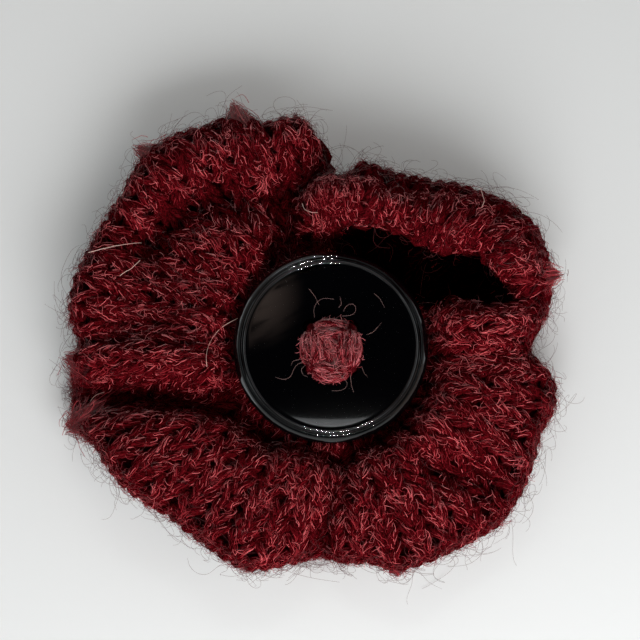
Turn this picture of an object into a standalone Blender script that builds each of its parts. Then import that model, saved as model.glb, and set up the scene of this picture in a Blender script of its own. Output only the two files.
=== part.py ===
"""Knitted poppy flower with a button centre, lying on its back.

One strip of red wool is knitted, drawn up along one edge, and seamed into a ruffled flower
with four petal lobes.  A black four-hole coat button covers the drawn-up centre.  Red
sewing wool passes through the button and the flower, and is fastened behind.

Frame: metres, +Z up from the surface that the flower lies on, origin under the middle of
the flower's outline, +X along its width and +Y away from the near edge.
"""

import bmesh
import bpy
import numpy as np

MM = 0.001

# Clearance kept between pieces that touch.
GAP = 0.3 * MM

# Knitted flower, measured from the middle of its drawn-up centre.
HUB_HEIGHT = 5.0 * MM        # drawn-up middle, top face under the button
HUB_RADIUS = 17.6 * MM       # where the petals start to rise beside the button
SHOULDER_HEIGHT = 10.4 * MM  # level that the petals reach just outside the button
SHOULDER_WIDTH = 5.0 * MM    # distance over which they rise to it
RIM_DROOP = 2.8 * MM         # how far the free edge bends down again
RUFFLE_HEIGHT = 1.3 * MM     # waves along the free edge
RUFFLE_COUNT = 9
RIM_ROUNDING = 1.0 * MM      # inset of the free edge's upper and lower corners
FABRIC_THICKNESS = 3.8 * MM  # thick ribbed knitting
EYE_RADIUS = 1.6 * MM        # small hole left when the middle is drawn up
RECESS_RADIUS = 8.9 * MM     # hollow behind, filled by the back stitches
RECESS_DEPTH = 2.2 * MM

# Button, and the square of four holes in it.
BUTTON_BASE = HUB_HEIGHT + GAP
HOLE_SPACING = 7.0 * MM
HOLE_RADIUS = 1.5 * MM

# Section of the button as (radius, height) in millimetres, from its flat back round the
# bulged side, over the outer rim, groove and inner ring, and down into the dish.
BUTTON_SECTION = (
    (14.0, 0.0), (15.5, 0.4), (16.5, 1.3), (17.0, 2.8), (16.85, 3.6), (16.4, 4.2),
    (15.9, 4.5), (15.4, 4.45), (15.35, 4.7), (15.0, 4.9), (14.7, 4.75), (14.3, 4.6),
    (12.5, 4.1), (10.0, 3.5), (8.5, 3.15), (7.0, 2.9),
)
DISH_HEIGHT = BUTTON_BASE + BUTTON_SECTION[-1][1] * MM

# Sewing wool.
WOOL_RADIUS = 1.15 * MM
FRONT_SPAN = 11.5 * MM       # width of the pad of stitches on the button
FRONT_HEIGHT = 2.1 * MM
BACK_SPAN = 12.0 * MM        # width of the pad of stitches behind
PAD_SQUARENESS = 3.2         # 2 is round, higher is squarer

# Mesh density.
FLOWER_STEPS = 132
BUTTON_STEPS = 72
PAD_STEPS = 24
HOLE_STEPS = 16

# Outline of the free edge as (angle in degrees, reach in millimetres) from the middle.
RIM = (
    # far right lobe, from the right notch to the far notch
    (0, 34.1), (6, 36.8), (14, 40.3), (20, 41.1), (30, 42.7), (38, 41.6),
    (47, 38.1), (58, 35.1), (70, 33.7), (82, 34.2), (88.5, 28.2),
    (93, 36.3), (98, 42.5), (107, 41.9), (112, 46.5), (118, 45.9), (126, 47.4),
    (134, 48.0), (141, 45.9), (152, 45.7), (165, 46.5), (174, 45.9), (180, 43.1),
    (184, 45.6), (188, 45.7),
    # near left lobe, from the seam to the near notch
    (191, 46.2), (196.5, 46.8), (203, 44.0), (214, 43.4), (227, 40.2), (238, 40.5),
    (250, 41.4), (258, 38.4), (266, 35.5),
    (275, 37.1), (281, 37.6), (286, 40.5), (300, 40.7), (315, 42.2), (328, 40.5), (338, 39.1),
    (346, 40.5), (353, 39.4),
)
RIM_SOFTENING = (-2.4, -1.2, 0.0, 1.2, 2.4)  # degrees over which its corners are rounded

# Folds of the fabric: line as (angle in degrees, distance in millimetres) points, then the
# width to either side, the height in millimetres, below zero for a hollow, and how steep its
# sides are.
FOLDS = {
    "far left roll": (
        ((99, 38.0), (112, 40.5), (126, 42.0), (140, 43.0), (152, 42.5), (170, 41.5)),
        4.4, 4.4, 2.2),
    "far left hollow": (
        ((150, 37), (134, 36), (125, 33), (116, 29.5), (108, 27)), 4.0, -3.6, 2.2),
    "left swell": (((172, 22), (180, 27)), 5.0, 2.0, 2.0),
    "seam roll": (((185, 41), (188, 31), (195, 21)), 4.4, 3.6, 3.0),
    "seam crease": (((190.5, 46), (194, 34), (200.5, 26), (208.5, 20.8)), 3.2, -8.6, 2.6),
    "near left gap": (((206, 21), (221, 20.4), (236, 20.4)), 2.6, -4.5, 2.0),
    "far crease": (
        ((89, 31), (99, 30.5), (107, 30), (108, 27), (111, 23.5), (115, 19)), 2.9, -7.0, 2.4),
    "far right roll": (
        ((88, 27), (76, 25.5), (62, 27.5), (49, 30.5), (39, 34.5), (31, 37), (23, 36.5),
         (18.5, 35)), 3.8, 7.4, 3.4),
    "far right back": (((84, 30), (66, 31), (50, 34), (38, 37), (27, 38)), 4.6, 2.6, 3.0),
    "pocket": (((68, 20.0), (57, 20.5), (39, 22.0), (30, 26.5), (26, 29.5)), 5.2, -11.0, 3.6),
    "far gap": (((118, 20.4), (96, 20.2), (72, 20.2)), 2.6, -5.0, 2.0),
    "pocket outlet": (((24, 28), (18, 32), (13.8, 37)), 2.6, -6.0, 2.2),
    "right ridge": (((9, 20.5), (7, 25.5), (4.5, 31)), 3.4, 4.4, 2.6),
    "right notch": (((3.5, 37), (2, 32)), 2.4, -3.5, 2.0),
    "near crease": (((265.5, 38), (269, 29), (275, 21)), 2.8, -4.5, 2.0),
    "near right hollow": (((309, 27), (315, 31), (319, 35)), 3.4, -3.6, 2.0),
    "near right swell": (((298, 25), (325, 24), (342, 27)), 5.0, 1.8, 2.0),
    "near left swell": (((212, 31), (238, 28)), 6.0, 1.4, 2.0),
    "near left lift": (((207, 41), (222, 39), (240, 38.5)), 5.0, 2.6, 2.0),
}

# Rings of the flower's mesh, as shares of the way from the hub to the free edge.
TOP_SHARES = (0.07, 0.14, 0.22, 0.3, 0.38, 0.47, 0.56, 0.65, 0.74, 0.83, 0.92)
BACK_SHARES = (0.86, 0.72, 0.57, 0.42, 0.27, 0.13)
PATCH = (-1.3 * MM, 0.0, 1.3 * MM)  # offsets over which the height is evened out


def ease(value):
    """Smooth step from 0 to 1, held outside that range."""
    value = np.clip(value, 0.0, 1.0)
    return value * value * (3.0 - 2.0 * value)


def rim_reach(angle):
    """Distance from the middle to the free edge at an angle in degrees."""
    corners = np.array(RIM)
    total = 0.0
    for shift in RIM_SOFTENING:
        total = total + np.interp(angle + shift, corners[:, 0], corners[:, 1], period=360.0)
    return total / len(RIM_SOFTENING) * MM


def distance_to_line(x, y, line):
    """Distance from points to an open line of (angle, distance) points."""
    angles = np.radians([point[0] for point in line])
    reach = np.array([point[1] for point in line]) * MM
    line_x = reach * np.cos(angles)
    line_y = reach * np.sin(angles)
    nearest = np.full(np.shape(x), np.inf)
    for i in range(len(line) - 1):
        step_x = line_x[i + 1] - line_x[i]
        step_y = line_y[i + 1] - line_y[i]
        share = (x - line_x[i]) * step_x + (y - line_y[i]) * step_y
        share = np.clip(share / (step_x ** 2 + step_y ** 2), 0.0, 1.0)
        away = np.hypot(x - line_x[i] - share * step_x, y - line_y[i] - share * step_y)
        nearest = np.minimum(nearest, away)
    return nearest


def drawn_height(angle, radius):
    """Height of the fabric's upper face at an angle in degrees and a radius."""
    x = radius * np.cos(np.radians(angle))
    y = radius * np.sin(np.radians(angle))
    outward = ease((radius - HUB_RADIUS) / SHOULDER_WIDTH)
    beyond_button = ease((radius - HUB_RADIUS + 0.8 * MM) / (2.0 * MM))
    share = (radius - HUB_RADIUS) / (rim_reach(angle) - HUB_RADIUS)
    height = HUB_HEIGHT + (SHOULDER_HEIGHT - HUB_HEIGHT) * outward
    height = height - RIM_DROOP * ease((share - 0.5) / 0.5)
    waves = np.sin(RUFFLE_COUNT * np.radians(angle))
    height = height + RUFFLE_HEIGHT * waves * np.clip(share, 0.0, 1.2) ** 2
    for line, width, rise, steepness in FOLDS.values():
        swell = np.exp(-(distance_to_line(x, y, line) / (width * MM)) ** steepness)
        height = height + rise * MM * swell * (outward if rise > 0.0 else beyond_button)
    return np.maximum(height, FABRIC_THICKNESS * 0.75)


def petal_height(angle, radius):
    """That height, evened out over a patch as wide as a facet, so that steep folds stay smooth."""
    total = 0.0
    for across in PATCH:
        for outward in PATCH:
            total = total + drawn_height(angle + np.degrees(across / radius), radius + outward)
    return total / len(PATCH) ** 2


def fabric_back(angle, radius):
    """Height of the fabric's lower face: one thickness below, and never below the rest."""
    step = 0.3 * MM
    turn = np.degrees(step / radius)
    here = petal_height(angle, radius)
    slope_out = (petal_height(angle, radius + step) - here) / step
    slope_round = (petal_height(angle + turn, radius) - here) / step
    lean = np.sqrt(1.0 + slope_out ** 2 + slope_round ** 2)
    outward = ease((radius - HUB_RADIUS) / SHOULDER_WIDTH)
    below = HUB_HEIGHT + (FABRIC_THICKNESS - HUB_HEIGHT) * outward
    return np.maximum(here - below * lean, 0.0)


def make_material(name, color, roughness):
    material = bpy.data.materials.new(name)
    material.use_nodes = True
    shader = material.node_tree.nodes["Principled BSDF"]
    shader.inputs["Base Color"].default_value = (*color, 1.0)
    shader.inputs["Roughness"].default_value = roughness
    shader.inputs["Metallic"].default_value = 0.0
    return material


def add_object(name, body, material=None):
    """Turn a bmesh into a named object."""
    bmesh.ops.recalc_face_normals(body, faces=body.faces)
    mesh = bpy.data.meshes.new(name)
    body.to_mesh(mesh)
    body.free()
    if material:
        mesh.materials.append(material)
    piece = bpy.data.objects.new(name, mesh)
    bpy.context.collection.objects.link(piece)
    return piece


def add_ring(body, x, y, z):
    return [body.verts.new(point) for point in np.broadcast(x, y, z)]


def join_rings(body, first, second):
    """Fill the band between two rings of equal count with quads."""
    count = len(first)
    for i in range(count):
        j = (i + 1) % count
        body.faces.new((first[i], second[i], second[j], first[j]))


def lathe(name, section, outline, material=None):
    """Closed solid from (scale, height) rings of one outline, capped flat at both ends."""
    body = bmesh.new()
    rings = [add_ring(body, outline[0] * scale, outline[1] * scale, height)
             for scale, height in section]
    for first, second in zip(rings, rings[1:]):
        join_rings(body, first, second)
    body.faces.new(rings[0])
    body.faces.new(rings[-1])
    return add_object(name, body, material)


def circle_outline(steps):
    turn = np.arange(steps) * 2.0 * np.pi / steps
    return np.cos(turn), np.sin(turn)


def pad_outline():
    """Unit outline of a pad of crossed stitches, a square with well rounded corners."""
    x, y = circle_outline(PAD_STEPS)
    size = (np.abs(x) ** PAD_SQUARENESS + np.abs(y) ** PAD_SQUARENESS) ** (1.0 / PAD_SQUARENESS)
    return x / size, y / size


def add_modifier(piece, operation, other):
    """Cut or join another object, which then only guides the shape."""
    change = piece.modifiers.new(other.name, "BOOLEAN")
    change.operation = operation
    change.solver = "EXACT"
    change.object = other
    other.hide_render = True
    other.display_type = "WIRE"


def hole_centres():
    """The four places where the sewing wool passes through."""
    half = HOLE_SPACING / 2.0
    return [(x, y) for y in (-half, half) for x in (-half, half)]


def add_pillars(name, radius, low, high):
    """Four upright rods at the button's holes, as one guide object."""
    body = bmesh.new()
    x, y = circle_outline(HOLE_STEPS)
    for centre_x, centre_y in hole_centres():
        lower = add_ring(body, centre_x + radius * x, centre_y + radius * y, low)
        upper = add_ring(body, centre_x + radius * x, centre_y + radius * y, high)
        join_rings(body, lower, upper)
        body.faces.new(lower)
        body.faces.new(upper)
    return add_object(name, body)


def make_flower(material):
    angle = np.arange(FLOWER_STEPS) * 360.0 / FLOWER_STEPS
    reach = rim_reach(angle)
    inner = reach - RIM_ROUNDING
    span = inner - HUB_RADIUS
    edge_top = petal_height(angle, inner)
    edge_back = fabric_back(angle, inner)
    flat = np.zeros(FLOWER_STEPS)

    rings = []
    for radius in (EYE_RADIUS, RECESS_RADIUS, HUB_RADIUS):
        rings.append((flat + radius, flat + HUB_HEIGHT))
    for share in TOP_SHARES:
        radius = HUB_RADIUS + span * share
        rings.append((radius, petal_height(angle, radius)))
    rings.append((inner, edge_top))
    rings.append((reach, (edge_top + edge_back) / 2.0))
    rings.append((inner, edge_back))
    for share in BACK_SHARES:
        radius = HUB_RADIUS + span * share
        rings.append((radius, fabric_back(angle, radius)))
    rings.append((flat + HUB_RADIUS, flat))
    rings.append((flat + RECESS_RADIUS, flat))
    rings.append((flat + RECESS_RADIUS, flat + RECESS_DEPTH))
    rings.append((flat + EYE_RADIUS, flat + RECESS_DEPTH))

    body = bmesh.new()
    turn = np.radians(angle)
    loops = [add_ring(body, radius * np.cos(turn), radius * np.sin(turn), height)
             for radius, height in rings]
    for first, second in zip(loops, loops[1:] + loops[:1]):
        join_rings(body, first, second)
    flower = add_object("knitted_flower", body, material)
    wool_ways = add_pillars("wool_ways", WOOL_RADIUS + GAP, 0.0, HUB_HEIGHT + MM)
    add_modifier(flower, "DIFFERENCE", wool_ways)
    return flower, wool_ways


def make_button(material):
    section = [(radius * MM, BUTTON_BASE + height * MM) for radius, height in BUTTON_SECTION]
    button = lathe("button", section, circle_outline(BUTTON_STEPS), material)
    holes = add_pillars("button_holes", HOLE_RADIUS, 0.0, DISH_HEIGHT + MM)
    add_modifier(button, "DIFFERENCE", holes)
    return button, holes


def make_sewing_wool(material):
    front = DISH_HEIGHT + GAP
    half = FRONT_SPAN / 2.0
    front_section = (
        (half * 0.9, front), (half, front + FRONT_HEIGHT * 0.35),
        (half * 0.93, front + FRONT_HEIGHT * 0.7), (half * 0.72, front + FRONT_HEIGHT),
    )
    wool = lathe("sewing_wool", front_section, pad_outline(), material)
    top = RECESS_DEPTH - GAP
    half = BACK_SPAN / 2.0
    back_section = (
        (half * 0.86, GAP), (half, GAP + (top - GAP) * 0.5), (half * 0.9, top),
    )
    back_pad = lathe("wool_behind", back_section, pad_outline())
    overlap = 0.4 * MM
    strands = add_pillars("wool_strands", WOOL_RADIUS, top - overlap, front + overlap)
    add_modifier(wool, "UNION", strands)
    add_modifier(wool, "UNION", back_pad)
    return wool, back_pad, strands


for old in list(bpy.data.objects):
    bpy.data.objects.remove(old, do_unlink=True)

pieces = []
pieces += make_flower(make_material("red_wool", (0.19, 0.010, 0.018), 0.95))
pieces += make_button(make_material("black_plastic", (0.008, 0.008, 0.010), 0.12))
pieces += make_sewing_wool(make_material("sewing_wool", (0.30, 0.026, 0.042), 0.95))

# The button sits off the middle of the ruffled outline, so all pieces hang on one empty
# that brings the middle of the outline to the origin.
every_angle = np.arange(0.0, 360.0, 360.0 / FLOWER_STEPS)
rim_x = rim_reach(every_angle) * np.cos(np.radians(every_angle))
rim_y = rim_reach(every_angle) * np.sin(np.radians(every_angle))
middle = bpy.data.objects.new("flower_middle", None)
middle.location = (-(rim_x.max() + rim_x.min()) / 2.0, -(rim_y.max() + rim_y.min()) / 2.0, 0.0)
bpy.context.collection.objects.link(middle)
for piece in pieces:
    piece.parent = middle
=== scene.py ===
"""Knitted poppy flower with a button centre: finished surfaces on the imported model."""

import bmesh
import bpy
import math
import numpy as np
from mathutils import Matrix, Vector
from mathutils.kdtree import KDTree


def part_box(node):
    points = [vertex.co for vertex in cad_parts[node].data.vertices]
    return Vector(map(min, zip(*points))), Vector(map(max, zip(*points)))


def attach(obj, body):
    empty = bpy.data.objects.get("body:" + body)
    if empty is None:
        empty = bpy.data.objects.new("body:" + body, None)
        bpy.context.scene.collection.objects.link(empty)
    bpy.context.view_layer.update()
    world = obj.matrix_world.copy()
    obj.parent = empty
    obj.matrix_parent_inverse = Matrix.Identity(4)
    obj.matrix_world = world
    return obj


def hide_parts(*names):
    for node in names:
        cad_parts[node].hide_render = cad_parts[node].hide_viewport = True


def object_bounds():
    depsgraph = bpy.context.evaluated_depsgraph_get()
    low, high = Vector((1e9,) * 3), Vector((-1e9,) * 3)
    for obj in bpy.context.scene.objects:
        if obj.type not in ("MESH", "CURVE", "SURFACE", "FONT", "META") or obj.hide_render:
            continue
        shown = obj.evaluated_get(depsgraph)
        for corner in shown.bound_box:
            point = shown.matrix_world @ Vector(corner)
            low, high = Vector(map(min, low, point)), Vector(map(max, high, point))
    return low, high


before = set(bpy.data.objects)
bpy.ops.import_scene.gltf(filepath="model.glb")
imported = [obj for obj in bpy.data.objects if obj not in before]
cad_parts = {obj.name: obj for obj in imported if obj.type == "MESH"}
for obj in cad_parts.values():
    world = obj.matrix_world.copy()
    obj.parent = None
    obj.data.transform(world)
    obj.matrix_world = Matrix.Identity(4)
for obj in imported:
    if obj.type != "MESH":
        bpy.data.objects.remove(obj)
cad_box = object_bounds()

MM = 0.001
root = "root"
scene = bpy.context.scene

# Camera: looks down on the flower's face from a little in front of it, and is aimed just
# beyond the middle of the outline, where the button is.
low, high = cad_box
target = Vector(((low.x + high.x) / 2 + 1.27 * MM, (low.y + high.y) / 2 + 3.05 * MM, 8 * MM))
camera_elevation = math.radians(78)
camera_distance = 0.36
camera = bpy.data.objects.new("camera", bpy.data.cameras.new("camera"))
away = Vector((0.0, -math.cos(camera_elevation), math.sin(camera_elevation)))
camera.location = target + away * camera_distance
camera.rotation_euler = (-away).to_track_quat("-Z", "Y").to_euler()
camera.data.lens = 116
camera.data.clip_start = 0.01
scene.collection.objects.link(camera)
scene.camera = camera


# Surface that the flower lies on: one sheet of pale uncoated paper, wider than the view.  Its
# tooth is a fine bump, and its face lies just under the flower.
def principled(name, color, roughness):
    """A new material with its shader's own colour and roughness set, and its node tree."""
    material = bpy.data.materials.new(name)
    material.use_nodes = True
    shader = material.node_tree.nodes["Principled BSDF"]
    shader.inputs["Base Color"].default_value = (*color, 1.0)
    shader.inputs["Roughness"].default_value = roughness
    return material, material.node_tree, shader


def add_node(tree, kind, inputs=None, **settings):
    """One more node of a material or of the world, with its settings and input values."""
    node = tree.nodes.new(kind)
    for setting, value in settings.items():
        setattr(node, setting, value)
    for name, value in (inputs or {}).items():
        node.inputs[name].default_value = value
    return node


def add_mesh(name, vertices, faces, material, smooth=True):
    """An object from an array of points and lists or arrays of faces of equal size."""
    mesh = bpy.data.meshes.new(name)
    vertices = np.asarray(vertices, dtype=np.float32).reshape(-1, 3)
    groups = [np.asarray(group, dtype=np.int32) for group in faces]
    corners = np.concatenate([group.ravel() for group in groups])
    sizes = np.concatenate([np.full(len(group), group.shape[1]) for group in groups])
    mesh.vertices.add(len(vertices))
    mesh.vertices.foreach_set("co", vertices.ravel())
    mesh.loops.add(len(corners))
    mesh.loops.foreach_set("vertex_index", corners)
    mesh.polygons.add(len(sizes))
    starts = np.concatenate([[0], np.cumsum(sizes)[:-1]]).astype(np.int32)
    mesh.polygons.foreach_set("loop_start", starts)
    mesh.polygons.foreach_set("use_smooth", np.full(len(sizes), smooth))
    mesh.update(calc_edges=True)
    mesh.validate()
    mesh.materials.append(material)
    piece = bpy.data.objects.new(name, mesh)
    scene.collection.objects.link(piece)
    return piece


paper, tree, shader = principled("paper", (0.78, 0.79, 0.79), 0.85)
grain = add_node(tree, "ShaderNodeTexNoise", {"Scale": 2400.0, "Detail": 2.0})
press = add_node(tree, "ShaderNodeBump", {"Strength": 0.30, "Distance": 0.1 * MM})
tree.links.new(grain.outputs["Fac"], press.inputs["Height"])
tree.links.new(press.outputs["Normal"], shader.inputs["Normal"])
PAPER_REACH = 3.0
PAPER_DROP = 0.2 * MM
paper_corners = [(x * PAPER_REACH, y * PAPER_REACH, -PAPER_DROP)
                 for x, y in ((-1, -1), (1, -1), (1, 1), (-1, 1))]
floor = add_mesh("paper_floor", paper_corners, [[(0, 1, 2, 3)]], paper, smooth=False)


# Lamps of a small white light tent: a wide soft one low at the near side and a faint one at
# the right.  They light the wool and the paper and leave no glint on the button.
def add_lamp(name, place, aim, size, power, color=(1.0, 1.0, 1.0)):
    """A flat lamp of a width and height, facing a point."""
    light = bpy.data.lights.new(name, "AREA")
    light.energy = power
    light.color = color
    light.shape = "RECTANGLE"
    light.size, light.size_y = size
    lamp = bpy.data.objects.new(name, light)
    lamp.location = place
    lamp.rotation_euler = (Vector(aim) - Vector(place)).to_track_quat("-Z", "Y").to_euler()
    lamp.visible_camera = False
    scene.collection.objects.link(lamp)
    return lamp


MIDDLE = (0.0, 0.0, 0.01)
for lamp in (add_lamp("near_lamp", (0.06, -0.26, 0.19), MIDDLE, (0.34, 0.17), 1.14),
             add_lamp("right_lamp", (0.50, -0.10, 0.26), MIDDLE, (0.4, 0.25), 0.04)):
    lamp.visible_glossy = False

# A row of small bulbs along the far wall, a pale panel round them and a low panel on either
# side.  They show only as glints on the glossy button.
BULB_COUNT = 18
BULB_SPACING = 12.3 * MM
BULB_COLORS = ((1.0, 0.90, 0.80), (0.85, 0.95, 1.0), (1.0, 1.0, 1.0), (0.90, 1.0, 0.88))
glints = []
for i in range(BULB_COUNT):
    light = bpy.data.lights.new("bulb", "POINT")
    light.energy = 1.5
    light.color = BULB_COLORS[i % len(BULB_COLORS)]
    light.shadow_soft_size = 2.8 * MM
    bulb = bpy.data.objects.new("bulb", light)
    bulb.location = ((i - (BULB_COUNT - 1) / 2) * BULB_SPACING - 0.022, 0.357, 0.378)
    scene.collection.objects.link(bulb)
    glints.append(bulb)
ORIGIN = (0.0, 0.0, 0.0)
FAR_COLOR = (0.92, 0.97, 1.0)
SIDE_COLOR = (0.88, 0.96, 1.0)
glints += [
    add_lamp("far_panel", (0.0, 0.385, 0.375), ORIGIN, (0.46, 0.17), 0.45, FAR_COLOR),
    add_lamp("left_panel", (-0.50, 0.05, 0.17), ORIGIN, (0.70, 0.28), 0.95, SIDE_COLOR),
    add_lamp("right_panel", (0.45, 0.22, 0.16), ORIGIN, (0.45, 0.28), 0.60, SIDE_COLOR),
]
for lamp in glints:
    lamp.visible_camera = False
    lamp.visible_diffuse = False

# White walls of the tent all round, up to a dark opening above, and brighter at the near
# side.
world = bpy.data.worlds.new("tent")
world.use_nodes = True
tree = world.node_tree
links = tree.links
direction = add_node(tree, "ShaderNodeTexCoord")
parts = add_node(tree, "ShaderNodeSeparateXYZ")
links.new(direction.outputs["Generated"], parts.inputs["Vector"])
walls = add_node(tree, "ShaderNodeValToRGB")
WALL_COLOR = (0.86, 0.885, 0.885)
OPENING_COLOR = (0.002, 0.002, 0.003)
OPENING_EDGE = 0.77
ramp = walls.color_ramp.elements
ramp[0].position, ramp[0].color = 0.0, (*WALL_COLOR, 1.0)
ramp[1].position, ramp[1].color = OPENING_EDGE, (*OPENING_COLOR, 1.0)
for height, share in ((0.45, 1.0), (0.62, 0.68), (0.735, 0.50)):
    ramp.new(height).color = (*(channel * share for channel in WALL_COLOR), 1.0)
links.new(parts.outputs["Z"], walls.inputs["Fac"])
nearness = add_node(tree, "ShaderNodeMapRange", {
    "From Min": 1.0, "From Max": -1.0, "To Min": 0.62, "To Max": 1.34})
links.new(parts.outputs["Y"], nearness.inputs["Value"])

# Something brown and blurred hangs in the opening to the right, barred by slanting shade.
shift = add_node(tree, "ShaderNodeMapping", {
    "Location": (-1.40, 0.36, 0.0), "Scale": (2.3, 2.3, 0.0)})
links.new(direction.outputs["Generated"], shift.inputs["Vector"])
off_middle = add_node(tree, "ShaderNodeVectorMath", operation="LENGTH")
links.new(shift.outputs["Vector"], off_middle.inputs[0])
nearby = add_node(tree, "ShaderNodeMapRange", {"From Min": 1.05, "From Max": 0.40},
                  interpolation_type="SMOOTHSTEP")
links.new(off_middle.outputs["Value"], nearby.inputs["Value"])
slant = add_node(tree, "ShaderNodeMapping", {
    "Rotation": (0.0, 0.0, math.radians(28.0)), "Scale": (0.40, 0.075, 1.0)},
    vector_type="TEXTURE")
links.new(direction.outputs["Generated"], slant.inputs["Vector"])
bars = add_node(tree, "ShaderNodeTexNoise", {"Scale": 1.0, "Detail": 3.0})
links.new(slant.outputs["Vector"], bars.inputs["Vector"])
barred = add_node(tree, "ShaderNodeMapRange", {"From Min": 0.40, "From Max": 0.60},
                  interpolation_type="SMOOTHSTEP")
links.new(bars.outputs["Fac"], barred.inputs["Value"])
haze = add_node(tree, "ShaderNodeMath", operation="MULTIPLY")
links.new(nearby.outputs["Result"], haze.inputs[0])
links.new(barred.outputs["Result"], haze.inputs[1])
sky = add_node(tree, "ShaderNodeMix", {"B": (0.70, 0.52, 0.44, 1.0)}, data_type="RGBA")
links.new(haze.outputs["Value"], sky.inputs["Factor"])
links.new(walls.outputs["Color"], sky.inputs["A"])
background = tree.nodes["Background"]
links.new(sky.outputs["Result"], background.inputs["Color"])
links.new(nearness.outputs["Result"], background.inputs["Strength"])
scene.world = world
scene.view_settings.view_transform = "Standard"

# Knitted ground: the body of the fabric, one strip of ribbed knitting in fuzzy red double
# knitting wool, drawn up round the middle and seamed, so that its free edge ruffles into
# four lobes.  The stitches and the hairs of the wool stand on it.
HUB_HEIGHT = 5.0 * MM
HUB_RADIUS = 17.6 * MM
SHOULDER_HEIGHT = 10.4 * MM
SHOULDER_WIDTH = 5.0 * MM
RIM_DROOP = 2.8 * MM
RUFFLE_HEIGHT = 1.3 * MM
RUFFLE_COUNT = 9
FABRIC_THICKNESS = 3.8 * MM
RIM = (
    # angle in degrees and distance in millimetres of the free edge from the middle
    (0, 34.1), (6, 36.8), (14, 40.3), (20, 41.1), (30, 42.7), (38, 41.6),
    (47, 38.1), (58, 35.1), (70, 33.7), (82, 34.2), (88.5, 28.2),
    (93, 36.3), (98, 42.5), (107, 41.9), (112, 46.5), (118, 45.9), (126, 47.4),
    (134, 48.0), (141, 45.9), (152, 45.7), (165, 46.5), (174, 45.9), (180, 43.1),
    (184, 45.6), (188, 45.7),
    (191, 46.2), (196.5, 46.8), (203, 44.0), (214, 43.4), (227, 40.2), (238, 40.5),
    (250, 41.4), (258, 38.4), (266, 35.5),
    (275, 37.1), (281, 37.6), (286, 40.5), (300, 40.7), (315, 42.2), (328, 40.5), (338, 39.1),
    (346, 40.5), (353, 39.4),
)
FOLDS = {
    # (angle, distance) points of a ridge or groove, its half width and rise in millimetres,
    # and how steep its sides are
    "far left roll": (
        ((99, 38.0), (112, 40.5), (126, 42.0), (140, 43.0), (152, 42.5), (170, 41.5)),
        4.4, 4.4, 2.2),
    "far left hollow": (
        ((150, 37), (134, 36), (125, 33), (116, 29.5), (108, 27)), 4.0, -3.6, 2.2),
    "left swell": (((172, 22), (180, 27)), 5.0, 2.0, 2.0),
    "seam roll": (((185, 41), (188, 31), (195, 21)), 4.4, 3.6, 3.0),
    "seam crease": (((190.5, 46), (194, 34), (200.5, 26), (208.5, 20.8)), 3.2, -8.6, 2.6),
    "near left gap": (((206, 21), (221, 20.4), (236, 20.4)), 2.6, -4.5, 2.0),
    "far crease": (
        ((89, 31), (99, 30.5), (107, 30), (108, 27), (111, 23.5), (115, 19)), 2.9, -7.0, 2.4),
    "far right roll": (
        ((88, 27), (76, 25.5), (62, 27.5), (49, 30.5), (39, 34.5), (31, 37), (23, 36.5),
         (18.5, 35)), 3.8, 7.4, 3.4),
    "far right back": (((84, 30), (66, 31), (50, 34), (38, 37), (27, 38)), 4.6, 2.6, 3.0),
    "pocket": (((68, 20.0), (57, 20.5), (39, 22.0), (30, 26.5), (26, 29.5)), 5.2, -11.0, 3.6),
    "far gap": (((118, 20.4), (96, 20.2), (72, 20.2)), 2.6, -5.0, 2.0),
    "pocket outlet": (((24, 28), (18, 32), (13.8, 37)), 2.6, -6.0, 2.2),
    "right ridge": (((9, 20.5), (7, 25.5), (4.5, 31)), 3.4, 4.4, 2.6),
    "right notch": (((3.5, 37), (2, 32)), 2.4, -3.5, 2.0),
    "near crease": (((265.5, 38), (269, 29), (275, 21)), 2.8, -4.5, 2.0),
    "near right hollow": (((309, 27), (315, 31), (319, 35)), 3.4, -3.6, 2.0),
    "near right swell": (((298, 25), (325, 24), (342, 27)), 5.0, 1.8, 2.0),
    "near left swell": (((212, 31), (238, 28)), 6.0, 1.4, 2.0),
    "near left lift": (((207, 41), (222, 39), (240, 38.5)), 5.0, 2.6, 2.0),
}
button_low, button_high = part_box("button")
hub = np.array([(button_low.x + button_high.x) / 2, (button_low.y + button_high.y) / 2, 0.0])
SEAM_ANGLE = 191.0
INNER_RADIUS = 8.5 * MM
EDGE_ROUNDING = 1.6 * MM
POCKET_MIDDLE = (18.0, 12.5)  # millimetres from the middle of the button
OVERHANG = 3.8 * MM           # of the roll over the pocket


def ease(value):
    value = np.clip(value, 0.0, 1.0)
    return value * value * (3.0 - 2.0 * value)


def rim_reach(angle):
    """Distance from the middle to the free edge at an angle in degrees."""
    corners = np.array(RIM)
    spread = (-2.4, -1.2, 0.0, 1.2, 2.4)
    total = sum(np.interp(angle + shift, corners[:, 0], corners[:, 1], period=360.0)
                for shift in spread)
    return total / len(spread) * MM


def distance_to_line(x, y, line):
    """Distance from points to an open line of (angle, distance) points."""
    angles = np.radians([point[0] for point in line])
    reach = np.array([point[1] for point in line]) * MM
    line_x = reach * np.cos(angles)
    line_y = reach * np.sin(angles)
    nearest = np.full(np.shape(x), np.inf)
    for i in range(len(line) - 1):
        step_x = line_x[i + 1] - line_x[i]
        step_y = line_y[i + 1] - line_y[i]
        share = (x - line_x[i]) * step_x + (y - line_y[i]) * step_y
        share = np.clip(share / (step_x ** 2 + step_y ** 2), 0.0, 1.0)
        gap = np.hypot(x - line_x[i] - share * step_x, y - line_y[i] - share * step_y)
        nearest = np.minimum(nearest, gap)
    return nearest


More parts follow.
